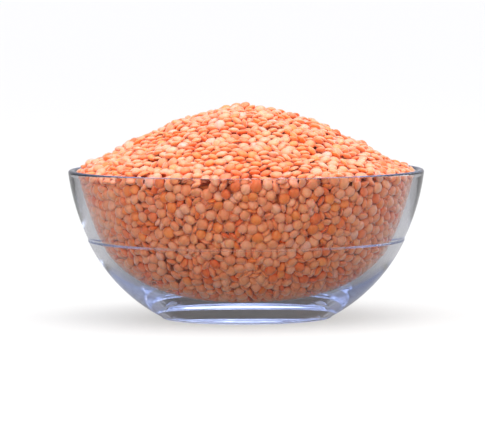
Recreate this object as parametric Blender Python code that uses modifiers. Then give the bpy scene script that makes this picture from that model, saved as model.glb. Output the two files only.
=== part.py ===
"""A clear glass bowl heaped with dry red lentils.

Metres, +Z up. The origin is where the bowl's axis meets the table that it stands on.
The bowl is one turned solid: a thick base on a flat foot ring, a rounded wall that thins
towards the rim, and a fine ridge round its outside at mid height. The lentils are one
solid heap that fills the bowl and rises above its rim, with a bump for each lentil that
shows, and whole lentils lying loose on its top.
"""

import math
import random

import bmesh
import bpy
from mathutils import Euler, Matrix, Vector

MM = 0.001

# The bowl's outside
RIM_RADIUS = 70.0 * MM
BOWL_HEIGHT = 58.5 * MM
RIM_THICKNESS = 2.8 * MM
BELLY_RADIUS = 62.2 * MM
BELLY_HEIGHT = 30.7 * MM
RIDGE_HALF_HEIGHT = 0.45 * MM
RIDGE_DEPTH = 0.3 * MM
UPPER_WALL_BULGE = 1.1 * MM
LOWER_WALL_BULGE = 3.3 * MM
FOOT_RADIUS = 34.0 * MM
FOOT_EDGE_HEIGHT = 0.8 * MM
FOOT_RING_OUTER = 33.2 * MM
FOOT_RING_INNER = 28.0 * MM
RECESS_RADIUS = 24.0 * MM
RECESS_DEPTH = 1.2 * MM

# The bowl's inside
WAIST_RADIUS = 57.7 * MM
WAIST_HEIGHT = 30.5 * MM
INNER_UPPER_BULGE = 0.9 * MM
INNER_LOWER_BULGE = 4.0 * MM
FLOOR_RADIUS = 28.5 * MM
FLOOR_EDGE_HEIGHT = 6.0 * MM
FLOOR_HEIGHT = 5.8 * MM

# The heap: its surface is a hyperbola turned about the bowl's axis, rounded at the peak
# and straightening to the lentils' angle of repose, with a dip where it meets the glass
HEAP_TOP = 82.9 * MM
HEAP_SLOPE = 0.60
HEAP_ROUNDING = 19.6 * MM
EDGE_DIP = 1.2 * MM
EDGE_DIP_WIDTH = 5.0 * MM
GLASS_GAP = 0.4 * MM

# The heap's lumps: waves across its top, each with a height, a direction, a length and a phase
LUMPS = (
    (0.55 * MM, math.radians(0), 18 * MM, math.radians(240)),
    (0.40 * MM, math.radians(70), 23 * MM, math.radians(40)),
    (0.40 * MM, math.radians(130), 29 * MM, math.radians(200)),
    (0.25 * MM, math.radians(200), 14 * MM, math.radians(110)),
)

# Its humps and hollows: each with a height, its place on the two axes, and a width
HUMPS = (
    (1.2 * MM, -1 * MM, 0 * MM, 5 * MM),
    (-1.0 * MM, 12 * MM, 0 * MM, 5 * MM),
    (-1.5 * MM, 54 * MM, -2 * MM, 11 * MM),
    (1.3 * MM, -51 * MM, 2 * MM, 4.5 * MM),
)

# One lentil
LENTIL_RADIUS = 2.25 * MM
LENTIL_HALF_THICKNESS = 1.15 * MM

BOWL_SEGMENTS = 60

# The lentils that show: a low bump for each, and whole ones lying loose on the top
DRAWN_POINTS = 14000
BUMP_DEPTH = 1.2 * MM
BUMP_UNEVENNESS = 0.45 * MM
TOP_BUMP_SPACING = 3.8 * MM
SIDE_BUMP_SPACING = 6.0 * MM
FLOOR_BUMP_SPACING = 9.0 * MM
FLOOR_BUMPS_BELOW = 12.0 * MM
LOOSE_LENTIL_SPACING = 10.8 * MM
LOOSE_LENTIL_SIZES = (0.92, 1.08)
LOOSE_LENTIL_LIFT = (0.2, 0.9)
LEAN_DOWNHILL = (0.1, 0.9)
LEAN_SIDEWAYS = (-0.3, 0.3)
CREASE_ANGLE = math.radians(30)
SEED = 7

GLASS_COLOUR = (0.86, 0.90, 0.97, 1.0)
LENTIL_COLOUR = (0.88, 0.42, 0.20, 1.0)


def clear_scene():
    for obj in list(bpy.data.objects):
        bpy.data.objects.remove(obj)


def new_collection(name):
    collection = bpy.data.collections.new(name)
    bpy.context.scene.collection.children.link(collection)
    return collection


def glass_material():
    material = bpy.data.materials.new("clear_glass")
    material.use_nodes = True
    shader = material.node_tree.nodes["Principled BSDF"]
    shader.inputs["Base Color"].default_value = GLASS_COLOUR
    shader.inputs["Roughness"].default_value = 0.02
    shader.inputs["IOR"].default_value = 1.5
    shader.inputs["Transmission Weight"].default_value = 1.0
    shader.inputs["Metallic"].default_value = 0.0
    return material


def lentil_material():
    material = bpy.data.materials.new("dry_lentil")
    material.use_nodes = True
    shader = material.node_tree.nodes["Principled BSDF"]
    shader.inputs["Base Color"].default_value = LENTIL_COLOUR
    shader.inputs["Roughness"].default_value = 0.45
    shader.inputs["Metallic"].default_value = 0.0
    return material


def arc(start, end, bulge, steps):
    """Points from start to end on a circular arc that bulges to the right of the way it runs."""
    a, b = Vector(start), Vector(end)
    chord = b - a
    half = chord.length / 2
    radius = (half * half + bulge * bulge) / (2 * bulge)
    right = Vector((chord.y, -chord.x)).normalized()
    centre = (a + b) / 2 - right * (radius - bulge)
    turn = 2 * math.asin(half / radius)
    first = a - centre
    points = []
    for step in range(steps + 1):
        angle = turn * step / steps
        points.append(centre + Matrix.Rotation(angle, 2) @ first)
    return [(p.x, p.y) for p in points]


def rim_height():
    """The height at which the rim's rounded top starts."""
    return BOWL_HEIGHT - RIM_THICKNESS / 2


def inner_wall(floor_steps=1, lower_steps=6, upper_steps=3):
    """(radius, height) points up the bowl's inside, from the floor's centre to the rim."""
    waist = (WAIST_RADIUS, WAIST_HEIGHT)
    rim_inside = (RIM_RADIUS - RIM_THICKNESS, rim_height())
    points = []
    for step in range(floor_steps):
        share = step / floor_steps
        rise = (FLOOR_EDGE_HEIGHT - FLOOR_HEIGHT) * share**2
        points.append((FLOOR_RADIUS * share, FLOOR_HEIGHT + rise))
    points += arc((FLOOR_RADIUS, FLOOR_EDGE_HEIGHT), waist, INNER_LOWER_BULGE, lower_steps)
    points += arc(waist, rim_inside, INNER_UPPER_BULGE, upper_steps)[1:]
    return points


def rim_round(steps=4):
    """The half circle over the rim, from its inside to its outside, without the end points."""
    radius = RIM_THICKNESS / 2
    points = []
    for step in range(1, steps):
        angle = math.pi * (1 - step / steps)
        x = RIM_RADIUS - radius + radius * math.cos(angle)
        points.append((x, rim_height() + radius * math.sin(angle)))
    return points


def outer_wall(upper_steps=3, lower_steps=5):
    """(radius, height) points down the bowl's outside, from the rim to the underside's centre."""
    above = (BELLY_RADIUS, BELLY_HEIGHT + RIDGE_HALF_HEIGHT)
    below = (BELLY_RADIUS, BELLY_HEIGHT - RIDGE_HALF_HEIGHT)
    points = arc((RIM_RADIUS, rim_height()), above, -UPPER_WALL_BULGE, upper_steps)
    points += [(BELLY_RADIUS + RIDGE_DEPTH, BELLY_HEIGHT)]
    points += arc(below, (FOOT_RADIUS, FOOT_EDGE_HEIGHT), -LOWER_WALL_BULGE, lower_steps)
    points += [(FOOT_RING_OUTER, 0.0), (FOOT_RING_INNER, 0.0)]
    points += [(RECESS_RADIUS, RECESS_DEPTH), (0.0, RECESS_DEPTH)]
    return points


def turned(name, profile, segments):
    """An object whose closed surface is the profile turned about Z."""
    mesh = bpy.data.meshes.new(name)
    vertices = [(radius, 0.0, height) for radius, height in profile]
    edges = [(i, i + 1) for i in range(len(profile) - 1)]
    mesh.from_pydata(vertices, edges, [])
    obj = bpy.data.objects.new(name, mesh)
    screw = obj.modifiers.new("turn", "SCREW")
    screw.axis = "Z"
    screw.steps = segments
    screw.render_steps = segments
    screw.use_merge_vertices = True
    screw.merge_threshold = 0.00001
    screw.use_smooth_shade = True
    return obj


def make_bowl(collection):
    bowl = turned("bowl", inner_wall() + rim_round() + outer_wall(), BOWL_SEGMENTS)
    bowl.data.materials.append(glass_material())
    collection.objects.link(bowl)
    return bowl


def heap_height(radius):
    """The height of the heap's surface above the table, this far from the bowl's axis."""
    slope_drop = math.hypot(HEAP_ROUNDING, HEAP_SLOPE * radius) - HEAP_ROUNDING
    from_glass = RIM_RADIUS - RIM_THICKNESS - radius
    nearness = max(0.0, 1.0 - from_glass / EDGE_DIP_WIDTH)
    return HEAP_TOP - slope_drop - EDGE_DIP * nearness**2


def lump_height(x, y):
    """How far the heap's top stands over its smooth surface here."""
    total = 0.0
    for height, direction, length, phase in LUMPS:
        along = x * math.cos(direction) + y * math.sin(direction)
        total += height * math.sin(2 * math.pi * along / length + phase)
    for height, hump_x, hump_y, width in HUMPS:
        away = math.hypot(x - hump_x, y - hump_y)
        total += height * math.exp(-((away / width) ** 2) / 2)
    return total


def heap_profile():
    """(radius, height) points of the heap: up along the glass, then over the top to the peak."""
    side = []
    wall = inner_wall(floor_steps=4, lower_steps=16, upper_steps=12)
    for (r0, z0), (r1, z1) in zip(wall, wall[1:]):
        along = Vector((r1 - r0, z1 - z0)).normalized()
        # The inside of the heap lies to the left of the way up the wall.
        side.append((max(r0 - along.y * GLASS_GAP, 0.0), z0 + along.x * GLASS_GAP))
    side = [p for p in side if p[1] < heap_height(p[0])]
    edge = side[-1][0]
    top_steps = 24
    top = []
    for step in range(top_steps + 1):
        radius = edge * (1 - step / top_steps)
        top.append((radius, heap_height(radius)))
    return side, top


def points_on(profile, count, rng):
    """Random points spread evenly over the area of a turned profile."""
    bands = []
    for (r0, z0), (r1, z1) in zip(profile, profile[1:]):
        bands.append((r0 + r1) * math.hypot(r1 - r0, z1 - z0))
    chosen = rng.choices(range(len(bands)), weights=bands, k=count)
    points = []
    for band in chosen:
        (r0, z0), (r1, z1) = profile[band], profile[band + 1]
        share = rng.random()
        # A band is wider round the outside, so its points crowd towards the larger radius.
        radius = math.sqrt(r0 * r0 + (r1 * r1 - r0 * r0) * share)
        along = (radius - r0) / (r1 - r0) if abs(r1 - r0) > 1e-9 else share
        turn = rng.uniform(0, 2 * math.pi)
        height = z0 + (z1 - z0) * along
        points.append(Vector((radius * math.cos(turn), radius * math.sin(turn), height)))
    return points


def spaced(candidates, spacing, kept=()):
    """The candidates that lie at least spacing from each other and from the kept points."""
    cells = {}

    def cell_of(point):
        return tuple(math.floor(v / spacing) for v in point)

    def near(point):
        x, y, z = cell_of(point)
        for dx in (-1, 0, 1):
            for dy in (-1, 0, 1):
                for dz in (-1, 0, 1):
                    yield from cells.get((x + dx, y + dy, z + dz), ())

    found = []
    for point in kept:
        cells.setdefault(cell_of(point), []).append(point)
    for point in candidates:
        if all((point - other).length >= spacing for other in near(point)):
            cells.setdefault(cell_of(point), []).append(point)
            found.append(point)
    return found


def is_on_open_top(point):
    """Whether the point is on the heap's top surface, a lentil clear of the glass."""
    radius = math.hypot(point.x, point.y)
    edge = heap_profile()[1][0][0]
    return point.z > heap_height(radius) - MM and radius < edge - LENTIL_RADIUS


def rim_row(edge):
    """Points in an even row round the heap's edge, where lentils lie against the glass."""
    radius, height = edge
    count = round(2 * math.pi * radius / TOP_BUMP_SPACING)
    turns = [2 * math.pi * step / count for step in range(count)]
    return [Vector((radius * math.cos(t), radius * math.sin(t), height)) for t in turns]


def bump_centres(rng):
    """Where each lentil's bump peaks, on the heap's top and on the rest of it."""
    side, top = heap_profile()
    on_top = rim_row(top[0])
    on_top += spaced(points_on(top, DRAWN_POINTS, rng), TOP_BUMP_SPACING, on_top)
    drawn = points_on(side, DRAWN_POINTS, rng)
    on_wall = [p for p in drawn if p.z > FLOOR_BUMPS_BELOW]
    on_wall = spaced(on_wall, SIDE_BUMP_SPACING, on_top)
    on_floor = [p for p in drawn if p.z <= FLOOR_BUMPS_BELOW]
    on_floor = spaced(on_floor, FLOOR_BUMP_SPACING, on_wall)
    return on_top + on_wall + on_floor


def make_core(collection, centres, rng):
    """The heap, with a low six-sided bump for each lentil.

    The heap is a convex body, so the hull of the bumps' centres joins each to its
    neighbours. Poking its faces puts a point between every three lentils, which sinks
    into the gap there, and turning the first edges makes those gaps run between bumps.
    The open top is lumpy and its bumps stand unevenly. Those against the glass lie in line.
    Returns the heap's object and the peaks of the bumps on its open top.
    """
    mesh = bpy.data.meshes.new("lentils")
    bm = bmesh.new()
    for centre in centres:
        bm.verts.new(centre)
    hull = bmesh.ops.convex_hull(bm, input=bm.verts)
    unused = [v for v in hull["geom_interior"] if isinstance(v, bmesh.types.BMVert)]
    bmesh.ops.delete(bm, geom=unused, context="VERTS")
    bmesh.ops.recalc_face_normals(bm, faces=bm.faces)
    between_bumps = list(bm.edges)
    poked = bmesh.ops.poke(bm, faces=list(bm.faces), offset=0.0)
    bm.normal_update()
    sunk = {v: v.normal * BUMP_DEPTH for v in poked["verts"]}
    peaks = []
    for vertex in bm.verts:
        open_top = is_on_open_top(vertex.co)
        if open_top:
            vertex.co.z += lump_height(vertex.co.x, vertex.co.y)
        if vertex in sunk:
            vertex.co -= sunk[vertex]
        elif open_top:
            vertex.co += vertex.normal * rng.uniform(-BUMP_UNEVENNESS, BUMP_UNEVENNESS)
            peaks.append(vertex.co.copy())
    bmesh.ops.rotate_edges(bm, edges=between_bumps, use_ccw=False)
    bmesh.ops.recalc_face_normals(bm, faces=bm.faces)
    bm.to_mesh(mesh)
    bm.free()
    core = bpy.data.objects.new("lentils", mesh)
    core.data.materials.append(lentil_material())
    collection.objects.link(core)
    return core, peaks


def make_loose_lentil(place, rng):
    """One whole lentil on the heap, leaning over downhill by a random angle."""
    bpy.ops.mesh.primitive_uv_sphere_add(segments=7, ring_count=3, radius=1.0)
    lentil = bpy.context.object
    size = rng.uniform(*LOOSE_LENTIL_SIZES)
    across = LENTIL_RADIUS * size
    lentil.scale = (across, across, LENTIL_HALF_THICKNESS * size)
    downhill = math.atan2(place.y, place.x)
    spin = Matrix.Rotation(rng.uniform(0, math.pi), 3, "Z")
    lean = Euler((rng.uniform(*LEAN_SIDEWAYS), rng.uniform(*LEAN_DOWNHILL), 0.0)).to_matrix()
    lentil.rotation_euler = (Matrix.Rotation(downhill, 3, "Z") @ lean @ spin).to_euler()
    lift = rng.uniform(*LOOSE_LENTIL_LIFT) * LENTIL_HALF_THICKNESS
    lentil.location = place + Vector((0.0, 0.0, lift))
    return lentil


def add_loose_lentils(core, peaks, rng):
    """Whole lentils, spread evenly over the heap's bumps and fused to it by one union."""
    loose = new_collection("loose_lentils")
    for place in spaced(peaks, LOOSE_LENTIL_SPACING):
        lentil = make_loose_lentil(place, rng)
        for old in list(lentil.users_collection):
            old.objects.unlink(lentil)
        loose.objects.link(lentil)
    union = core.modifiers.new("fuse", "BOOLEAN")
    union.operation = "UNION"
    union.operand_type = "COLLECTION"
    union.collection = loose
    union.solver = "EXACT"
    bpy.context.view_layer.update()
    graph = bpy.context.evaluated_depsgraph_get()
    fused = bpy.data.meshes.new_from_object(core.evaluated_get(graph))
    core.modifiers.remove(union)
    core.data = fused
    fused.shade_smooth()
    fused.set_sharp_from_angle(angle=CREASE_ANGLE)
    for lentil in list(loose.objects):
        bpy.data.objects.remove(lentil)
    bpy.data.collections.remove(loose)


def main():
    clear_scene()
    rng = random.Random(SEED)
    parts = new_collection("bowl_of_lentils")
    make_bowl(parts)
    core, peaks = make_core(parts, bump_centres(rng), rng)
    add_loose_lentils(core, peaks, rng)


main()
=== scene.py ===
"""Looks for a clear glass bowl heaped with dry hulled red lentils.

The bowl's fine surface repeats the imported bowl's dimensions. The lentils are real meshes
at true size: thousands are placed at random in the space behind the glass and under the
heap's surface, then pushed apart until they lie jammed against each other as poured ones do.
The rim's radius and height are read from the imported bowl, at the end of the script.
"""

import math

import bpy
import numpy as np
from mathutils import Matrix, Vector


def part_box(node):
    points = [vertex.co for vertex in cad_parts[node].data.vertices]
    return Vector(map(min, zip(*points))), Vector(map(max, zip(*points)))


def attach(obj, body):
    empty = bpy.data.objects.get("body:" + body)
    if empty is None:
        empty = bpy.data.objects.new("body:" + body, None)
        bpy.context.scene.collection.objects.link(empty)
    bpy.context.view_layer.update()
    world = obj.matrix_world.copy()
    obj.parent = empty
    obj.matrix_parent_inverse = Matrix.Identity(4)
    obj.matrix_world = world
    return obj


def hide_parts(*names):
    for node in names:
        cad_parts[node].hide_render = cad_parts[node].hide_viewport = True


MM = 0.001

# The bowl, in millimetres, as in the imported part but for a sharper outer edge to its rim
RIM_THICKNESS = 2.8
RIM_EDGE_ROUND = 1.1
BELLY_RADIUS = 62.2
BELLY_HEIGHT = 30.7
RIDGE_HALF_HEIGHT = 0.45
RIDGE_DEPTH = 0.3
UPPER_WALL_BULGE = 1.1
LOWER_WALL_BULGE = 3.3
FOOT_RADIUS = 34.0
FOOT_EDGE_HEIGHT = 0.8
FOOT_RING_OUTER = 33.2
FOOT_RING_INNER = 28.0
RECESS_RADIUS = 24.0
RECESS_DEPTH = 1.2
WAIST_RADIUS = 57.7
WAIST_HEIGHT = 30.5
INNER_UPPER_BULGE = 0.9
INNER_LOWER_BULGE = 4.0
FLOOR_RADIUS = 28.5
FLOOR_EDGE_HEIGHT = 6.0
FLOOR_HEIGHT = 5.8

# How finely the glass is made, and how far from a corner its rounding starts, in millimetres
GLASS_SEGMENTS = 192
UPPER_WALL_STEPS = 36
LOWER_WALL_STEPS = 40
WAIST_ROUND = 1.5
FOOT_ROUND = 0.35
RECESS_ROUND = 0.6
RIDGE_ROUND = 0.35
RIDGE_EDGE_ROUND = 0.2

# The heap's surface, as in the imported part
HEAP_TOP = 82.9
HEAP_SLOPE = 0.60
HEAP_ROUNDING = 19.6
EDGE_DIP = 1.2
EDGE_DIP_WIDTH = 5.0

# The heap's lumps: waves across its top, each with a height, a direction, a length and a phase
LUMPS = (
    (0.55, math.radians(0), 18, math.radians(240)),
    (0.40, math.radians(70), 23, math.radians(40)),
    (0.40, math.radians(130), 29, math.radians(200)),
    (0.25, math.radians(200), 14, math.radians(110)),
)

# Its humps and hollows: each with a height, its place on the two axes, and a width
HUMPS = (
    (1.2, -1, 0, 5),
    (-1.0, 12, 0, 5),
    (-1.5, 54, -2, 11),
    (1.3, -51, 2, 4.5),
)

# A lentil, in millimetres: its flatness is its half thickness over its radius
LENTIL_RADII = (2.0, 2.5)
LENTIL_FLATNESS = 0.50
FLATNESS_SPREAD = (0.93, 1.07)
LENTIL_EDGE_POWER = 1.22
OUTER_MESH = (14, 7)
BURIED_MESH = (8, 5)

# Its unevenness: waves round its outline, how far each face bulges, and the few split in half
OUTLINE_WAVES = ((1, 0.05), (2, 0.05), (3, 0.025))
FACE_BULGE = (0.88, 1.08)
SPLIT_SHARE = 0.03
SPLIT_FACE_BULGE = 0.12

# How the lentils lie, in millimetres: those less deep than OUTER_DEPTH have the finer mesh
GLASS_GAP = 0.2
TOP_LEAN = 0.26
WALL_LEAN = 0.75
SHELL_DEPTH = 6.2
OUTER_DEPTH = 3.4
START_DEPTH = 1.0
CEILING_DEPTHS = (0.55, 1.5)
PACKING = 0.62
TRIAL_POINTS = 400000
PLACES_AT_ONCE = 200000
CORE_DEPTH = 3.9
CORE_SEGMENTS = 96

# How they settle: a step goes part of the way, and near balls are listed anew every few steps
STEPS = 260
SEED = 3
PAIRS_EVERY = 8
LATE_STEPS_FROM = 0.8
MOVE_EASE = 1.1
TURN_EASE = 0.8
LEVEL_EASE = 0.05
STEER_EASE = 0.5
PRESS = 0.03
LATE_PRESS = 0.01

# Each kind of lentil: its name, its share, and its light, dark and dusty colours
KINDS = [
    ("pale", 0.23, (0.90, 0.42, 0.24, 1.0), (0.87, 0.37, 0.19, 1.0), (0.95, 0.61, 0.48, 1.0)),
    ("peach", 0.26, (0.89, 0.39, 0.19, 1.0), (0.85, 0.33, 0.14, 1.0), (0.94, 0.57, 0.43, 1.0)),
    ("tan", 0.24, (0.87, 0.35, 0.17, 1.0), (0.82, 0.29, 0.12, 1.0), (0.92, 0.52, 0.38, 1.0)),
    ("orange", 0.14, (0.89, 0.32, 0.09, 1.0), (0.85, 0.24, 0.05, 1.0), (0.93, 0.46, 0.24, 1.0)),
    ("deep", 0.10, (0.86, 0.25, 0.08, 1.0), (0.80, 0.18, 0.04, 1.0), (0.90, 0.36, 0.20, 1.0)),
    ("dusty", 0.03, (0.86, 0.46, 0.32, 1.0), (0.82, 0.40, 0.26, 1.0), (0.92, 0.68, 0.60, 1.0)),
]
# Painted shade: how much deeper and redder each lentil's colour turns at its edge, for the
# saturated shade in the gaps between lentils
EDGE_SHADE_TINT = (0.98, 0.66, 0.4, 1.0)
# Painted shade: the core's colours, darker than any lentil's, for the lentils deep in the heap's
# shade
CORE_SHADE_COLOURS = ((0.55, 0.15, 0.05, 1.0), (0.78, 0.27, 0.10, 1.0))

# The lentils' skin: its patterns' scales are per metre, and its depths in millimetres
FACE_MAP_RADIUS = 0.23
PATCH_SCALE = 420.0
GLOSS_SCALE = 900.0
GRAIN_SCALE = 1500.0
CORE_PATCH_SCALE = 260.0
GRAIN_DEPTH = 0.06
SCATTER_DEPTH = 1.5

# The photograph's frame in pixels, and its camera in metres
IMAGE_WIDTH = 485
PIXELS_PER_MM = 2.5386
CAMERA_DISTANCE = 1.70
CAMERA_HEIGHT = 0.150
AIM = (-0.0015, 0.0, 0.0374)
CAMERA_ROLL = math.radians(-0.2)
SENSOR_WIDTH = 36.0

# The glass is faintly blue, and takes up a little light along its path
GLASS_COLOUR = (0.82, 0.82, 0.85, 1.0)
GLASS_GLARE = (0.18, 0.18, 0.18, 1.0)
GLASS_BODY_COLOUR = (0.87, 0.90, 0.96, 1.0)
GLASS_BODY_DENSITY = 35.0

# The studio's light: a wide soft one from above and in front, in a dimmer, bluish room.
# Its edge is given as the cosines where it begins and where it is full.
LIGHT_FROM = (-0.10, -0.30, 0.949)
LIGHT_EDGE = (0.5, 0.85)
LIGHT_COLOUR = (1.7, 1.77, 2.1, 1.0)
WHITE = (1.0, 1.0, 1.0, 1.0)
ROOM_LEFT = (0.40, 0.40, 0.44, 1.0)
ROOM_RIGHT = (0.62, 0.62, 0.66, 1.0)
FLOOR_SIZE = 60.0
FLOOR_DROP = 0.0002
FLOOR_COLOUR = (0.30, 0.29, 0.255, 1.0)
FLOOR_GLOW = 0.45
FLOOR_GLOW_IN_GLASS = 0.12
LIGHT_BOUNCES = 32
DIFFUSE_BOUNCES = 8

# Its lamps: each one's name, place, size in metres, power in watts and colour
LAMPS = (
    ("overhead", (0.1, -0.1, 1.4), 0.8, 5.0, (1.0, 1.0, 1.0)),
    ("front", (-0.4, -1.6, 0.3), 0.6, 4.5, (1.0, 0.94, 0.70)),
    ("side", (1.5, 0.8, 0.35), 0.6, 4.0, (1.0, 1.0, 1.0)),
)
LAMPS_AIM = (0.0, 0.0, 0.05)


def arc(start, end, bulge, steps):
    """Points from start to end on a circular arc that bulges to the right of the way it runs."""
    a, b = np.array(start, float), np.array(end, float)
    chord = b - a
    half = np.linalg.norm(chord) / 2
    radius = (half * half + bulge * bulge) / (2 * bulge)
    right = np.array((chord[1], -chord[0])) / (2 * half)
    centre = (a + b) / 2 - right * (radius - bulge)
    turns = 2 * math.asin(half / radius) * np.linspace(0, 1, steps + 1)
    x, y = a - centre
    across = np.cos(turns) * x - np.sin(turns) * y
    up = np.sin(turns) * x + np.cos(turns) * y
    return centre + np.stack([across, up], 1)


def rounded(points, radius, steps=5):
    """The corner between three points, replaced by a curve that starts radius from it."""
    before, corner, after = (np.array(p, float) for p in points)
    start = corner + (before - corner) / np.linalg.norm(before - corner) * radius
    end = corner + (after - corner) / np.linalg.norm(after - corner) * radius
    t = np.linspace(0, 1, steps + 1)[:, None]
    return (1 - t) ** 2 * start + 2 * t * (1 - t) * corner + t**2 * end


def inner_wall():
    """(radius, height) points up the bowl's inside, from the floor's centre to the rim."""
    waist = (WAIST_RADIUS, WAIST_HEIGHT)
    rim_inside = (RIM_RADIUS - RIM_THICKNESS, BOWL_HEIGHT - RIM_THICKNESS / 2)
    share = np.linspace(0, 1, 9)[:-1]
    rise = (FLOOR_EDGE_HEIGHT - FLOOR_HEIGHT) * share**2
    floor = np.stack([FLOOR_RADIUS * share, FLOOR_HEIGHT + rise], 1)
    lower = arc((FLOOR_RADIUS, FLOOR_EDGE_HEIGHT), waist, INNER_LOWER_BULGE, LOWER_WALL_STEPS)
    upper = arc(waist, rim_inside, INNER_UPPER_BULGE, UPPER_WALL_STEPS)
    turn = rounded((lower[-4], waist, upper[3]), WAIST_ROUND)
    return np.vstack([floor, lower[:-3], turn, upper[3:]])


def rim_round():
    """The curve over the rim, which turns more sharply at its outer edge, without its ends."""
    inside = np.linspace(0, math.pi / 2, 13)[1:]
    top = RIM_RADIUS - RIM_EDGE_ROUND
    reach, rise = RIM_THICKNESS - RIM_EDGE_ROUND, RIM_THICKNESS / 2
    inner = np.stack([top - reach * np.cos(inside), BOWL_HEIGHT - rise + rise * np.sin(inside)], 1)
    outside = np.linspace(math.pi / 2, 0, 9)[1:-1]
    across = top + RIM_EDGE_ROUND * np.cos(outside)
    up = BOWL_HEIGHT - RIM_EDGE_ROUND + RIM_EDGE_ROUND * np.sin(outside)
    return np.vstack([inner, np.stack([across, up], 1)])


def outer_wall():
    """(radius, height) points down the bowl's outside, from the rim to the underside's centre."""
    above = (BELLY_RADIUS, BELLY_HEIGHT + RIDGE_HALF_HEIGHT)
    ridge = (BELLY_RADIUS + RIDGE_DEPTH, BELLY_HEIGHT)
    below = (BELLY_RADIUS, BELLY_HEIGHT - RIDGE_HALF_HEIGHT)
    foot = (FOOT_RADIUS, FOOT_EDGE_HEIGHT)
    rim_outside = (RIM_RADIUS, BOWL_HEIGHT - RIM_EDGE_ROUND)
    upper = arc(rim_outside, above, -UPPER_WALL_BULGE, UPPER_WALL_STEPS)[:-1]
    lower = arc(below, foot, -LOWER_WALL_BULGE, LOWER_WALL_STEPS)[1:-1]
    ring_outer, ring_inner = (FOOT_RING_OUTER, 0.0), (FOOT_RING_INNER, 0.0)
    recess = (RECESS_RADIUS, RECESS_DEPTH)
    middle = np.stack([np.linspace(RECESS_RADIUS - 1, 0, 8), np.full(8, RECESS_DEPTH)], 1)
    turns = [
        rounded((lower[-2], foot, ring_outer), FOOT_ROUND),
        rounded((foot, ring_outer, ring_inner), FOOT_ROUND),
        rounded((ring_outer, ring_inner, recess), RECESS_ROUND),
        rounded((ring_inner, recess, middle[-1]), RECESS_ROUND),
    ]
    line = [
        rounded((upper[-1], above, ridge), RIDGE_EDGE_ROUND),
        rounded((above, ridge, below), RIDGE_ROUND),
        rounded((ridge, below, lower[0]), RIDGE_EDGE_ROUND),
    ]
    return np.vstack([upper, *line, lower, *turns, middle])


def lathe(name, profile, segments):
    """A smooth closed mesh: a profile in millimetres that starts and ends on the axis, turned."""
    ring = profile[1:-1] * MM
    turns = np.arange(segments) * 2 * math.pi / segments
    x = np.cos(turns)[:, None] * ring[:, 0]
    y = np.sin(turns)[:, None] * ring[:, 0]
    z = np.broadcast_to(ring[:, 1], x.shape)
    points = np.stack([x, y, z], 2).reshape(-1, 3)
    ends = [(0.0, 0.0, profile[0, 1] * MM), (0.0, 0.0, profile[-1, 1] * MM)]
    count = len(ring)
    first, last = len(points), len(points) + 1
    faces = []
    for turn in range(segments):
        here, there = turn * count, (turn + 1) % segments * count
        faces.append((first, here, there))
        faces.append((last, there + count - 1, here + count - 1))
        for i in range(count - 1):
            faces.append((here + i, here + i + 1, there + i + 1, there + i))
    mesh = bpy.data.meshes.new(name)
    mesh.from_pydata(points.tolist() + ends, [], faces)
    mesh.shade_smooth()
    obj = bpy.data.objects.new(name, mesh)
    bpy.context.scene.collection.objects.link(obj)
    return obj


def heap_height(radius):
    """The height of the heap's surface above the table, this far from the bowl's axis."""
    slope_drop = np.hypot(HEAP_ROUNDING, HEAP_SLOPE * radius) - HEAP_ROUNDING
    from_glass = RIM_RADIUS - RIM_THICKNESS - radius
    nearness = np.clip(1.0 - from_glass / EDGE_DIP_WIDTH, 0.0, None)
    return HEAP_TOP - slope_drop - EDGE_DIP * nearness**2


def lump_height(x, y):
    """How far the heap's top stands over its smooth surface here."""
    total = 0.0
    for height, direction, length, phase in LUMPS:
        along = x * math.cos(direction) + y * math.sin(direction)
        total = total + height * np.sin(2 * math.pi * along / length + phase)
    for height, hump_x, hump_y, width in HUMPS:
        away = np.hypot(x - hump_x, y - hump_y)
        total = total + height * np.exp(-((away / width) ** 2) / 2)
    return total


class Distance:
    """Signed distance to a turned line, read from a grid of radius and height.

    It is positive to the line's left for a side of 1, and to its right for -1.
    """

    STEP = 0.5
    RADII = (-1.0, 76.0)
    HEIGHTS = (0.0, 92.0)

    def __init__(self, line, side):
        self.radii = np.arange(*self.RADII, self.STEP)
        self.heights = np.arange(*self.HEIGHTS, self.STEP)
        r, z = np.meshgrid(self.radii, self.heights, indexing="ij")
        best = np.full(r.shape, np.inf)
        sign = np.ones(r.shape)
        for (r0, z0), (r1, z1) in zip(line, line[1:]):
            dr, dz = r1 - r0, z1 - z0
            along = ((r - r0) * dr + (z - z0) * dz) / max(dr * dr + dz * dz, 1e-12)
            along = np.clip(along, 0, 1)
            off_r, off_z = r - (r0 + along * dr), z - (z0 + along * dz)
            distance = np.hypot(off_r, off_z)
            nearer = distance < best - 1e-9
            best = np.where(nearer, distance, best)
            sign = np.where(nearer, np.sign(dr * off_z - dz * off_r), sign)
        self.values = best * sign * side
        self.slopes = np.gradient(self.values, self.STEP)

    def read(self, points):
        """Each point's distance, and the unit vector that leads to the line from inside."""
        radius = np.hypot(points[:, 0], points[:, 1])
        i = np.clip((radius - self.radii[0]) / self.STEP, 0, len(self.radii) - 1.001)
        j = np.clip((points[:, 2] - self.heights[0]) / self.STEP, 0, len(self.heights) - 1.001)
        a, b = i.astype(int), j.astype(int)
        fa, fb = i - a, j - b
        found = []
        for table in (self.values, *self.slopes):
            low = table[a, b] * (1 - fa) + table[a + 1, b] * fa
            high = table[a, b + 1] * (1 - fa) + table[a + 1, b + 1] * fa
            found.append(low * (1 - fb) + high * fb)
        distance, slope_r, slope_z = found
        unit = points[:, :2] / np.maximum(radius, 1e-6)[:, None]
        way = -np.concatenate([unit * slope_r[:, None], slope_z[:, None]], 1)
        way /= np.maximum(np.linalg.norm(way, axis=1), 1e-6)[:, None]
        return distance, way


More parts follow.
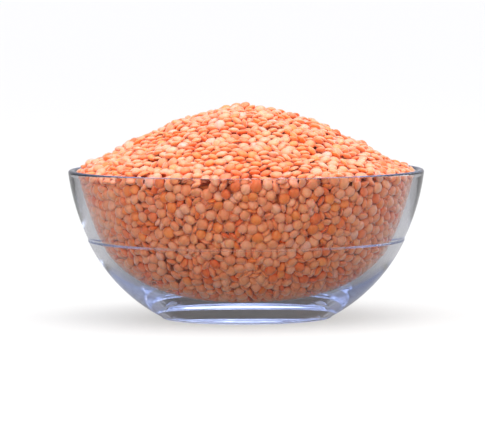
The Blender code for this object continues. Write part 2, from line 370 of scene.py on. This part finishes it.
def glass_distance():
    """How far a point is from the glass, positive in the bowl's hollow.

    The wall's line runs on past the axis, and up past the heap.
    """
    wall = inner_wall()
    across_axis = [(-wall[1, 0], wall[1, 1])]
    above_heap = [(RIM_RADIUS - RIM_THICKNESS + 0.4, 95.0)]
    return Distance(np.vstack([across_axis, wall, above_heap]), 1)


def air_distance():
    """How far a point is from the heap's smooth surface, positive under it."""
    radii = np.linspace(-2, 72, 120)
    return Distance(np.stack([radii, heap_height(np.abs(radii))], 1), -1)


def frames_about(axes, rng):
    """Rotation matrices whose third column is each axis, spun at random about it."""
    first = np.cross(rng.normal(size=axes.shape), axes)
    first /= np.linalg.norm(first, axis=1)[:, None]
    return np.stack([first, np.cross(axes, first), axes], 2)


def rotations(turns):
    """The rotation matrix for each vector, which is its axis times its angle."""
    angle = np.linalg.norm(turns, axis=1)
    x, y, z = (turns / np.maximum(angle, 1e-9)[:, None]).T
    nil = np.zeros_like(x)
    cross = np.stack([nil, -z, y, z, nil, -x, -y, x, nil], 1).reshape(-1, 3, 3)
    sine, rest = np.sin(angle)[:, None, None], (1 - np.cos(angle))[:, None, None]
    return np.eye(3) + sine * cross + rest * (cross @ cross)


def near_pairs(points, reach):
    """Each pair of points that lie closer than reach, by a grid of cells that size."""
    cell = np.floor(points / reach).astype(np.int64)
    cell -= cell.min(0) - 1
    size = cell.max(0) + 2
    key = (cell[:, 0] * size[1] + cell[:, 1]) * size[2] + cell[:, 2]
    order = np.argsort(key, kind="stable")
    ordered = key[order]
    around = (-1, 0, 1)
    steps = [(x, y, z) for x in around for y in around for z in around if (x, y, z) >= (0, 0, 0)]
    firsts, seconds = [], []
    for x, y, z in steps:
        other = key + (x * size[1] + y) * size[2] + z
        low = np.searchsorted(ordered, other, "left")
        count = np.searchsorted(ordered, other, "right") - low
        first = np.repeat(np.arange(len(points)), count)
        offset = np.repeat(low - (np.cumsum(count) - count), count)
        second = order[offset + np.arange(len(first))]
        keep = first < second if (x, y, z) == (0, 0, 0) else slice(None)
        firsts.append(first[keep])
        seconds.append(second[keep])
    first, second = np.concatenate(firsts), np.concatenate(seconds)
    keep = ((points[first] - points[second]) ** 2).sum(1) < reach * reach
    return first[keep], second[keep]


class Heap:
    """Lentils in a shell behind the glass and under the heap's surface.

    Each collides as seven balls: a large one in its middle and six round its edge.
    The edge balls' places and sizes are shares of the lentil's radius.
    The most that a lentil moves in a step, and the other lengths, are in millimetres.
    """

    BALLS = 7
    EDGE_BALLS_AT = 0.62
    EDGE_BALL_SIZE = 0.38
    MOST_MOVE = 0.5
    LENTILS_APART = 0.3
    BALLS_APART = 0.35
    SHELL_MARGIN = 1.0

    def __init__(self, rng):
        self.glass = glass_distance()
        self.air = air_distance()
        self.count = self.lentils_that_fit(rng)
        self.radius = rng.uniform(*LENTIL_RADII, self.count)
        self.half = self.radius * LENTIL_FLATNESS * rng.uniform(*FLATNESS_SPREAD, self.count)
        self.place = self.random_places(self.count, rng)
        self.wanted = self.first_axes(rng)
        self.turned = frames_about(self.wanted, rng)
        self.ceiling = rng.uniform(*CEILING_DEPTHS, self.count)
        corners = np.arange(6) * math.pi / 3
        edge = np.stack([np.cos(corners), np.sin(corners), np.zeros(6)], 1)
        layout = np.vstack([np.zeros((1, 3)), edge])
        self.balls = layout[None] * (self.radius * self.EDGE_BALLS_AT)[:, None, None]
        edge_sizes = np.repeat((self.radius * self.EDGE_BALL_SIZE)[:, None], 6, 1)
        self.ball_sizes = np.concatenate([self.half[:, None], edge_sizes], 1).reshape(-1)

    def read_air(self, points):
        """How far each point is under the lumpy surface, and the way out to it."""
        distance, way = self.air.read(points)
        return distance + lump_height(points[:, 0], points[:, 1]) * way[:, 2], way

    def depth(self, points):
        """How far each point is from the glass or the heap's surface, whichever is nearer."""
        return np.minimum(self.glass.read(points)[0], self.read_air(points)[0])

    def box_points(self, count, rng):
        """Random points in the box that holds the heap."""
        reach = RIM_RADIUS
        return rng.uniform((-reach, -reach, FLOOR_HEIGHT), (reach, reach, HEAP_TOP), (count, 3))

    def lentils_that_fit(self, rng):
        """How many lentils fill the shell to the packing that poured ones have."""
        depth = self.depth(self.box_points(TRIAL_POINTS, rng))
        share = np.mean((depth > 0) & (depth < SHELL_DEPTH))
        room = share * (2 * RIM_RADIUS) ** 2 * (HEAP_TOP - FLOOR_HEIGHT)
        mean = sum(LENTIL_RADII) / 2
        return int(PACKING * room / (4 / 3 * math.pi * mean**3 * LENTIL_FLATNESS))

    def random_places(self, count, rng):
        """Random places for the lentils' middles, all of them in the shell."""
        places = np.zeros((0, 3))
        while len(places) < count:
            points = self.box_points(PLACES_AT_ONCE, rng)
            depth = self.depth(points)
            inside = (depth > START_DEPTH) & (depth < SHELL_DEPTH)
            places = np.vstack([places, points[inside]])
        return places[:count]

    def first_axes(self, rng):
        """Lentils lie flat on the glass, and near level on the open heap, with a spread."""
        to_glass, glass_way = self.glass.read(self.place)
        to_air, air_way = self.read_air(self.place)
        on_top = (to_air < to_glass)[:, None]
        flat = np.where(on_top, air_way * 0.5 + np.array([0.0, 0.0, 0.5]), glass_way)
        flat /= np.linalg.norm(flat, axis=1)[:, None]
        lean = np.where(on_top, TOP_LEAN, WALL_LEAN)
        axes = flat + rng.normal(size=flat.shape) * lean
        return axes / np.linalg.norm(axes, axis=1)[:, None]

    def ball_places(self):
        """Each ball's place from its lentil's middle, and in the bowl."""
        arms = np.einsum("nij,nkj->nki", self.turned, self.balls).reshape(-1, 3)
        return arms, arms + np.repeat(self.place, self.BALLS, 0)

    def close_balls(self, centres):
        """Pairs of balls on different lentils that touch or soon may."""
        first, second = near_pairs(self.place, 2 * LENTIL_RADII[1] + self.LENTILS_APART)
        each = np.arange(self.BALLS)
        shape = (len(first), self.BALLS, self.BALLS)
        one = np.broadcast_to((first[:, None] * self.BALLS + each)[:, :, None], shape).reshape(-1)
        two = np.broadcast_to((second[:, None] * self.BALLS + each)[:, None], shape).reshape(-1)
        apart = ((centres[one] - centres[two]) ** 2).sum(1)
        close = apart < (self.ball_sizes[one] + self.ball_sizes[two] + self.BALLS_APART) ** 2
        return one[close], two[close]

    def contacts(self, centres, one, two):
        """The ball, the push on it and the push's direction, for each touch."""
        between = centres[one] - centres[two]
        apart = np.sqrt((between**2).sum(1)) + 1e-6
        overlap = self.ball_sizes[one] + self.ball_sizes[two] - apart
        hit = overlap > 0
        way = between[hit] / apart[hit][:, None]
        push = way * (0.5 * overlap[hit])[:, None]
        to_glass, glass_way = self.glass.read(centres)
        into_glass = self.ball_sizes + GLASS_GAP - to_glass
        against = np.nonzero(into_glass > 0)[0]
        back = -glass_way[against]
        balls = np.concatenate([one[hit], two[hit], against])
        pushes = np.concatenate([push, -push, back * into_glass[against][:, None]])
        ways = np.concatenate([way, -way, back])
        return balls, pushes, ways

    def settle(self, steps):
        """Pushes overlapping lentils apart, step by step, and presses them gently outward."""
        for step in range(steps):
            arms, centres = self.ball_places()
            if step % PAIRS_EVERY == 0:
                one, two = self.close_balls(centres)
            balls, pushes, ways = self.contacts(centres, one, two)
            lentil = balls // self.BALLS
            move = self.summed(lentil, pushes)
            touches = np.bincount(lentil, minlength=self.count)
            move *= (MOVE_EASE / np.maximum(touches, 1))[:, None]
            turn = self.summed(lentil, np.cross(arms[balls], pushes))
            lever = (np.cross(arms[balls], ways) ** 2).sum(1)
            turn *= (TURN_EASE / (np.bincount(lentil, lever, self.count) + TURN_EASE))[:, None]
            turn += self.levelling(LEVEL_EASE)
            move += self.steering(PRESS if step < LATE_STEPS_FROM * steps else LATE_PRESS)
            length = np.linalg.norm(move, axis=1)[:, None]
            self.place += move * np.minimum(1, self.MOST_MOVE / np.maximum(length, 1e-6))
            self.turned = rotations(turn) @ self.turned

    def summed(self, lentil, vectors):
        """The sum of the vectors that act on each lentil."""
        return np.stack([np.bincount(lentil, v, self.count) for v in vectors.T], 1)

    def levelling(self, ease):
        """Small turns that bring each lentil back towards the way it would lie."""
        axes = self.turned[:, :, 2]
        same_way = np.sign((axes * self.wanted).sum(1))[:, None]
        return np.cross(axes, self.wanted * same_way) * ease

    def steering(self, press):
        """Moves that keep lentils under the heap's surface and in the shell, and press outward."""
        to_air, air_way = self.read_air(self.place)
        to_glass, glass_way = self.glass.read(self.place)
        move = -air_way * STEER_EASE * np.clip(self.ceiling - to_air, 0, None)[:, None]
        outward = np.where((to_air < to_glass)[:, None], air_way, glass_way)
        too_deep = np.minimum(to_air, to_glass) - (SHELL_DEPTH - self.SHELL_MARGIN)
        return move + outward * (STEER_EASE * np.clip(too_deep, 0, 1) + press)[:, None]


def lentil_template(segments, rings):
    """A unit lentil: its points, triangles, and each corner's place on a map.

    The points are (across, across, up), where across runs to 1 at its edge. On the map
    its upper face is a disc in the left half of a square, and its lower face in the right.
    The discs stop a little short of each other and of the square's sides.
    """
    slope = np.linspace(0, math.pi, rings + 1)[1:-1]
    turns = np.arange(segments) * 2 * math.pi / segments
    across = np.sin(slope)
    up = np.sign(np.cos(slope)) * np.abs(np.cos(slope)) ** LENTIL_EDGE_POWER
    x = across[:, None] * np.cos(turns)
    y = across[:, None] * np.sin(turns)
    z = np.broadcast_to(up[:, None], x.shape)
    points = np.vstack([[(0, 0, 1)], np.stack([x, y, z], 2).reshape(-1, 3), [(0, 0, -1)]])
    last = len(points) - 1
    triangles = []
    for s in range(segments):
        t = (s + 1) % segments
        triangles.append((0, 1 + s, 1 + t))
        base = 1 + (rings - 2) * segments
        triangles.append((last, base + t, base + s))
        for ring in range(rings - 2):
            a, b = 1 + ring * segments, 1 + (ring + 1) * segments
            triangles.append((a + s, b + s, b + t))
            triangles.append((a + s, b + t, a + t))
    triangles = np.array(triangles)
    slopes = np.concatenate([[0], np.repeat(slope, segments), [math.pi]])
    angles = np.concatenate([[0], np.tile(turns, rings - 1), [0]])
    upper = slopes[triangles].mean(1) < math.pi / 2
    from_pole = np.where(upper[:, None], slopes[triangles], math.pi - slopes[triangles])
    reach = FACE_MAP_RADIUS * from_pole / (math.pi / 2)
    u = np.where(upper, 0.25, 0.75)[:, None] + reach * np.cos(angles[triangles])
    v = 0.5 + 2 * reach * np.sin(angles[triangles])
    return points, triangles, np.stack([u, v], 2)


def shaped(points, radius, half, rng):
    """Every lentil's points, each uneven in outline and in the bulge of its two faces."""
    count = len(radius)
    angle = np.arctan2(points[:, 1], points[:, 0])
    lobes = np.zeros((count, len(points)))
    for order, most in OUTLINE_WAVES:
        size = rng.uniform(0, most, (count, 1))
        lobes += size * np.cos(order * angle - rng.uniform(0, 2 * math.pi, (count, 1)))
    upper = rng.uniform(*FACE_BULGE, (count, 1))
    lower = rng.uniform(*FACE_BULGE, (count, 1))
    lower = np.where(rng.random((count, 1)) < SPLIT_SHARE, SPLIT_FACE_BULGE, lower)
    bulge = np.where(points[:, 2] > 0, upper, lower)
    flat = points[None, :, :2] * (radius[:, None] * (1 + lobes))[:, :, None]
    return np.concatenate([flat, (points[:, 2] * half[:, None] * bulge)[:, :, None]], 2)


def clear_of_glass(world, glass):
    """The lentils' points, with each lentil moved off the glass that it pokes into."""
    for _ in range(3):
        distance, way = glass.read(world.reshape(-1, 3))
        distance = distance.reshape(world.shape[:2])
        worst = distance.argmin(1)
        each = np.arange(len(world))
        short = np.clip(GLASS_GAP - distance[each, worst], 0, None)
        world = world - (way.reshape(world.shape)[each, worst] * short[:, None])[:, None]
    return world


def triangle_mesh(name, points, faces):
    """A smooth mesh of the points, in metres, and of triangles between them."""
    mesh = bpy.data.meshes.new(name)
    mesh.vertices.add(points.size // 3)
    mesh.vertices.foreach_set("co", points.astype(np.float32).ravel())
    mesh.loops.add(faces.size)
    mesh.loops.foreach_set("vertex_index", faces.astype(np.int32).ravel())
    mesh.polygons.add(faces.size // 3)
    mesh.polygons.foreach_set("loop_start", np.arange(0, faces.size, 3, dtype=np.int32))
    mesh.update(calc_edges=True)
    mesh.shade_smooth()
    return mesh


def add_tint(mesh, count, points, rng):
    """A colour for each point: two draws for its lentil, then how near the edge it is."""
    tint = mesh.attributes.new("tint", "FLOAT_COLOR", "POINT")
    draws = np.repeat(rng.random((count, 1, 2)), len(points), 1)
    edge = np.broadcast_to(np.hypot(points[:, 0], points[:, 1]), (count, len(points)))
    colour = np.concatenate([draws, edge[:, :, None], np.ones((*edge.shape, 1))], 2)
    tint.data.foreach_set("color", colour.astype(np.float32).ravel())


def add_map(mesh, count, corners):
    """A map with a square for each lentil, in rows about as wide as they are many."""
    across = math.ceil(math.sqrt(count / 2))
    down = math.ceil(count / across)
    cell = np.arange(count)
    corner = np.stack([cell % across, cell // across], 1)[:, None, None]
    uv = (corners[None] + corner) / np.array([across, down])
    layer = mesh.uv_layers.new(name="OFBake")
    layer.uv.foreach_set("vector", uv.astype(np.float32).ravel())


def lentil_piece(name, heap, chosen, fineness, material, rng):
    """One joined mesh of the chosen lentils, with a tint and a map place for each."""
    points, triangles, corners = lentil_template(*fineness)
    count = len(chosen)
    local = shaped(points, heap.radius[chosen], heap.half[chosen], rng)
    world = np.einsum("nij,nkj->nki", heap.turned[chosen], local)
    world = clear_of_glass(world + heap.place[chosen][:, None], heap.glass) * MM
    faces = triangles[None] + (np.arange(count) * len(points))[:, None, None]
    mesh = triangle_mesh(name, world, faces)
    add_tint(mesh, count, points, rng)
    add_map(mesh, count, corners)
    mesh.materials.append(material)
    obj = bpy.data.objects.new(name, mesh)
    bpy.context.scene.collection.objects.link(obj)
    return obj


def glass_material():
    """Clear glass, faintly blue where light runs far in it.

    It lets the lamps' light straight through, so that what it holds is lit.
    """
    material = bpy.data.materials.new("clear_glass")
    material.use_nodes = True
    tree = material.node_tree
    shader = tree.nodes["Principled BSDF"]
    shader.inputs["Base Color"].default_value = GLASS_COLOUR
    shader.inputs["Specular Tint"].default_value = GLASS_GLARE
    shader.inputs["Roughness"].default_value = 0.0
    shader.inputs["IOR"].default_value = 1.5
    shader.inputs["Transmission Weight"].default_value = 1.0
    light = tree.nodes.new("ShaderNodeLightPath")
    clear = tree.nodes.new("ShaderNodeBsdfTransparent")
    clear.inputs["Color"].default_value = WHITE
    body = tree.nodes.new("ShaderNodeVolumeAbsorption")
    body.inputs["Color"].default_value = GLASS_BODY_COLOUR
    body.inputs["Density"].default_value = GLASS_BODY_DENSITY
    mix = tree.nodes.new("ShaderNodeMixShader")
    output = tree.nodes["Material Output"]
    tree.links.new(light.outputs["Is Shadow Ray"], mix.inputs[0])
    tree.links.new(shader.outputs[0], mix.inputs[1])
    tree.links.new(clear.outputs[0], mix.inputs[2])
    tree.links.new(mix.outputs[0], output.inputs["Surface"])
    tree.links.new(body.outputs[0], output.inputs["Volume"])
    return material


def mixed(tree, first, second, share):
    """A colour mix of two colours or sockets, by a number socket."""
    mix = tree.nodes.new("ShaderNodeMix")
    mix.data_type = "RGBA"
    tree.links.new(share, mix.inputs["Factor"])
    for socket, value in ((mix.inputs[6], first), (mix.inputs[7], second)):
        if isinstance(value, tuple):
            socket.default_value = value
        else:
            tree.links.new(value, socket)
    return mix.outputs[2]


def ranged(tree, value, low, high, to_low=0.0, to_high=1.0):
    """The number socket value, with low to high mapped to the other range."""
    scale = tree.nodes.new("ShaderNodeMapRange")
    scale.inputs["From Min"].default_value = low
    scale.inputs["From Max"].default_value = high
    scale.inputs["To Min"].default_value = to_low
    scale.inputs["To Max"].default_value = to_high
    tree.links.new(value, scale.inputs["Value"])
    return scale.outputs["Result"]


def noise(tree, scale, detail):
    """Noise over the piece's own coordinates, whose unit is a metre."""
    where = tree.nodes.new("ShaderNodeTexCoord")
    made = tree.nodes.new("ShaderNodeTexNoise")
    made.inputs["Scale"].default_value = scale
    made.inputs["Detail"].default_value = detail
    tree.links.new(where.outputs["Object"], made.inputs["Vector"])
    return made.outputs["Fac"]


def lentil_material(name, light, dark, dusty):
    """A dry lentil's skin: each has its own tint, with painted shade that makes it deeper and
    redder at the edge, and dusty in patches.
    """
    material = bpy.data.materials.new(name)
    material.use_nodes = True
    tree = material.node_tree
    shader = tree.nodes["Principled BSDF"]
    tint = tree.nodes.new("ShaderNodeAttribute")
    tint.attribute_name = "tint"
    parts = tree.nodes.new("ShaderNodeSeparateColor")
    tree.links.new(tint.outputs["Color"], parts.inputs["Color"])
    own, edge = parts.outputs["Red"], parts.outputs["Blue"]
    body = mixed(tree, light, dark, own)
    # Painted shade: each lentil's colour deepens and reddens towards its edge, as the gaps between
    # lentils do in shade
    deep = tuple(c * f for c, f in zip(dark, EDGE_SHADE_TINT))
    rim = ranged(tree, edge, 0.65, 1.0, 0.0, 0.65)
    body = mixed(tree, body, deep, rim)
    patches = ranged(tree, noise(tree, PATCH_SCALE, 3.0), 0.5, 0.75, 0.0, 0.35)
    body = mixed(tree, body, dusty, patches)
    tree.links.new(body, shader.inputs["Base Color"])
    rough = ranged(tree, noise(tree, GLOSS_SCALE, 2.0), 0.3, 0.7, 0.34, 0.5)
    tree.links.new(rough, shader.inputs["Roughness"])
    bump = tree.nodes.new("ShaderNodeBump")
    bump.inputs["Strength"].default_value = 0.5
    bump.inputs["Distance"].default_value = GRAIN_DEPTH * MM
    tree.links.new(noise(tree, GRAIN_SCALE, 3.0), bump.inputs["Height"])
    tree.links.new(bump.outputs["Normal"], shader.inputs["Normal"])
    shader.inputs["Sheen Weight"].default_value = 0.8
    shader.inputs["Sheen Roughness"].default_value = 0.4
    shader.inputs["Sheen Tint"].default_value = (1.0, 0.88, 0.86, 1.0)
    shader.inputs["Subsurface Weight"].default_value = 0.35
    shader.inputs["Subsurface Radius"].default_value = (1.0, 0.35, 0.15)
    shader.inputs["Subsurface Scale"].default_value = SCATTER_DEPTH * MM
    return material


def core_material():
    """What shows between the lentils: more of them, painted darker than the lentils' own colour as
    shade.
    """
    material = bpy.data.materials.new("shaded_lentils")
    material.use_nodes = True
    tree = material.node_tree
    shader = tree.nodes["Principled BSDF"]
    patches = ranged(tree, noise(tree, CORE_PATCH_SCALE, 2.0), 0.35, 0.65)
    # Painted shade: patches between the two darkened core colours
    colour = mixed(tree, *CORE_SHADE_COLOURS, patches)
    tree.links.new(colour, shader.inputs["Base Color"])
    shader.inputs["Roughness"].default_value = 0.8
    return material


def make_core():
    """A smooth body under the lentils, a little way behind the glass and the heap's surface."""
    wall = inner_wall()
    step = np.gradient(wall, axis=0)
    step /= np.linalg.norm(step, axis=1)[:, None]
    side = wall + np.stack([-step[:, 1], step[:, 0]], 1) * CORE_DEPTH
    side[0, 0] = 0.0
    side = side[(side[:, 0] >= 0) & (side[:, 1] < heap_height(side[:, 0]) - CORE_DEPTH)]
    radii = np.linspace(side[-1, 0], 0, 24)
    top = np.stack([radii, heap_height(radii) - CORE_DEPTH * 1.1], 1)
    core = lathe("lentils_core", np.vstack([side, top]), CORE_SEGMENTS)
    core.data.materials.append(core_material())
    return core


def make_lentils():
    """The settled lentils, joined into an outer and a buried piece for each kind, and the core."""
    rng = np.random.default_rng(SEED)
    heap = Heap(rng)
    heap.settle(STEPS)
    outer = heap.depth(heap.place) < OUTER_DEPTH
    draw = rng.random(heap.count)
    pieces = [make_core()]
    start = 0.0
    for name, share, light, dark, dusty in KINDS:
        material = lentil_material("lentil_" + name, light, dark, dusty)
        kind = (draw >= start) & (draw < start + share)
        start += share
        chosen = np.nonzero(kind & outer)[0]
        pieces.append(lentil_piece("lentils_" + name, heap, chosen, OUTER_MESH, material, rng))
        chosen = np.nonzero(kind & ~outer)[0]
        pieces.append(lentil_piece("buried_" + name, heap, chosen, BURIED_MESH, material, rng))
    for piece in pieces:
        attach(piece, "root")
        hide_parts("lentils")


def make_glass():
    """The glass bowl, turned from the lines of its inside, its rim and its outside."""
    profile = np.vstack([inner_wall(), rim_round(), outer_wall()])
    glass = lathe("glass_bowl", profile, GLASS_SEGMENTS)
    glass.data.materials.append(glass_material())
    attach(glass, "root")
    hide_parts("bowl")


def make_floor():
    """A floor that is white to the camera, and dimmer in the glass."""
    bpy.ops.mesh.primitive_plane_add(size=FLOOR_SIZE, location=(0.0, 0.0, -FLOOR_DROP))
    floor = bpy.context.object
    floor.name = "floor"
    material = bpy.data.materials.new("white_floor")
    material.use_nodes = True
    tree = material.node_tree
    shader = tree.nodes["Principled BSDF"]
    light = tree.nodes.new("ShaderNodeLightPath")
    seen = light.outputs["Is Camera Ray"]
    glow = ranged(tree, seen, 0.0, 1.0, FLOOR_GLOW_IN_GLASS, FLOOR_GLOW)
    tree.links.new(glow, shader.inputs["Emission Strength"])
    shader.inputs["Emission Color"].default_value = WHITE
    shader.inputs["Base Color"].default_value = FLOOR_COLOUR
    shader.inputs["Roughness"].default_value = 0.8
    floor.data.materials.append(material)


def towards(tree, way, direction):
    """How nearly the vector socket way points in a direction, from -1 to 1."""
    product = tree.nodes.new("ShaderNodeVectorMath")
    product.operation = "DOT_PRODUCT"
    product.inputs[1].default_value = direction
    tree.links.new(way, product.inputs[0])
    return product.outputs["Value"]


def make_world():
    """White to the camera. To all else, a room that is bright where its light comes from."""
    world = bpy.data.worlds.new("studio")
    bpy.context.scene.world = world
    world.use_nodes = True
    tree = world.node_tree
    room = tree.nodes["Background"]
    where = tree.nodes.new("ShaderNodeTexCoord")
    way = where.outputs["Generated"]
    to_right = ranged(tree, towards(tree, way, (1, 0, 0)), -0.8, 0.8)
    walls = mixed(tree, ROOM_LEFT, ROOM_RIGHT, to_right)
    lit = ranged(tree, towards(tree, way, LIGHT_FROM), *LIGHT_EDGE)
    tree.links.new(mixed(tree, walls, LIGHT_COLOUR, lit), room.inputs["Color"])
    seen = tree.nodes.new("ShaderNodeBackground")
    seen.inputs["Color"].default_value = WHITE
    light = tree.nodes.new("ShaderNodeLightPath")
    mix = tree.nodes.new("ShaderNodeMixShader")
    tree.links.new(light.outputs["Is Camera Ray"], mix.inputs[0])
    tree.links.new(room.outputs[0], mix.inputs[1])
    tree.links.new(seen.outputs[0], mix.inputs[2])
    tree.links.new(mix.outputs[0], tree.nodes["World Output"].inputs["Surface"])


def softbox(name, place, size, power, colour):
    """A square lamp that shines on the bowl."""
    lamp = bpy.data.lights.new(name, "AREA")
    lamp.shape = "SQUARE"
    lamp.size = size
    lamp.energy = power
    lamp.color = colour
    obj = bpy.data.objects.new(name, lamp)
    obj.location = place
    way = Vector(LAMPS_AIM) - Vector(place)
    obj.rotation_euler = way.to_track_quat("-Z", "Y").to_euler()
    bpy.context.scene.collection.objects.link(obj)


def let_light_bounce():
    """Light runs on inside the glass, and between the lentils, until it comes out."""
    cycles = bpy.context.scene.cycles
    cycles.max_bounces = LIGHT_BOUNCES
    cycles.transmission_bounces = LIGHT_BOUNCES
    cycles.glossy_bounces = LIGHT_BOUNCES
    cycles.diffuse_bounces = DIFFUSE_BOUNCES


def make_camera():
    """The photograph's camera: a little above the rim, rolled very slightly."""
    data = bpy.data.cameras.new("camera")
    camera = bpy.data.objects.new("camera", data)
    bpy.context.scene.collection.objects.link(camera)
    place = Vector((AIM[0], -CAMERA_DISTANCE, CAMERA_HEIGHT))
    way = Vector(AIM) - place
    camera.location = place
    turn = way.to_track_quat("-Z", "Y").to_euler()
    turn.rotate_axis("Z", CAMERA_ROLL)
    camera.rotation_euler = turn
    data.sensor_width = SENSOR_WIDTH
    data.lens = SENSOR_WIDTH * way.length / (IMAGE_WIDTH / PIXELS_PER_MM * MM)
    bpy.context.scene.camera = camera


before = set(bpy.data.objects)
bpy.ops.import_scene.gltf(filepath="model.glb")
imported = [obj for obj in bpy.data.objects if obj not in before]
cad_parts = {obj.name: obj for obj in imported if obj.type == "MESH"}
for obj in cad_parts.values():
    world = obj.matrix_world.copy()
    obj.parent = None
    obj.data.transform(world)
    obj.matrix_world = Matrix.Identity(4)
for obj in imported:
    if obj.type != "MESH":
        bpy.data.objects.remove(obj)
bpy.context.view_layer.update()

# The rim's radius and height, in millimetres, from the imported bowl
low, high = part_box("bowl")
RIM_RADIUS = high.x / MM
BOWL_HEIGHT = high.z / MM

bpy.context.scene.view_settings.view_transform = "Standard"
bpy.context.scene.view_settings.look = "Medium High Contrast"
let_light_bounce()
make_camera()
make_world()
for lamp in LAMPS:
    softbox(*lamp)
make_floor()
make_glass()
make_lentils()
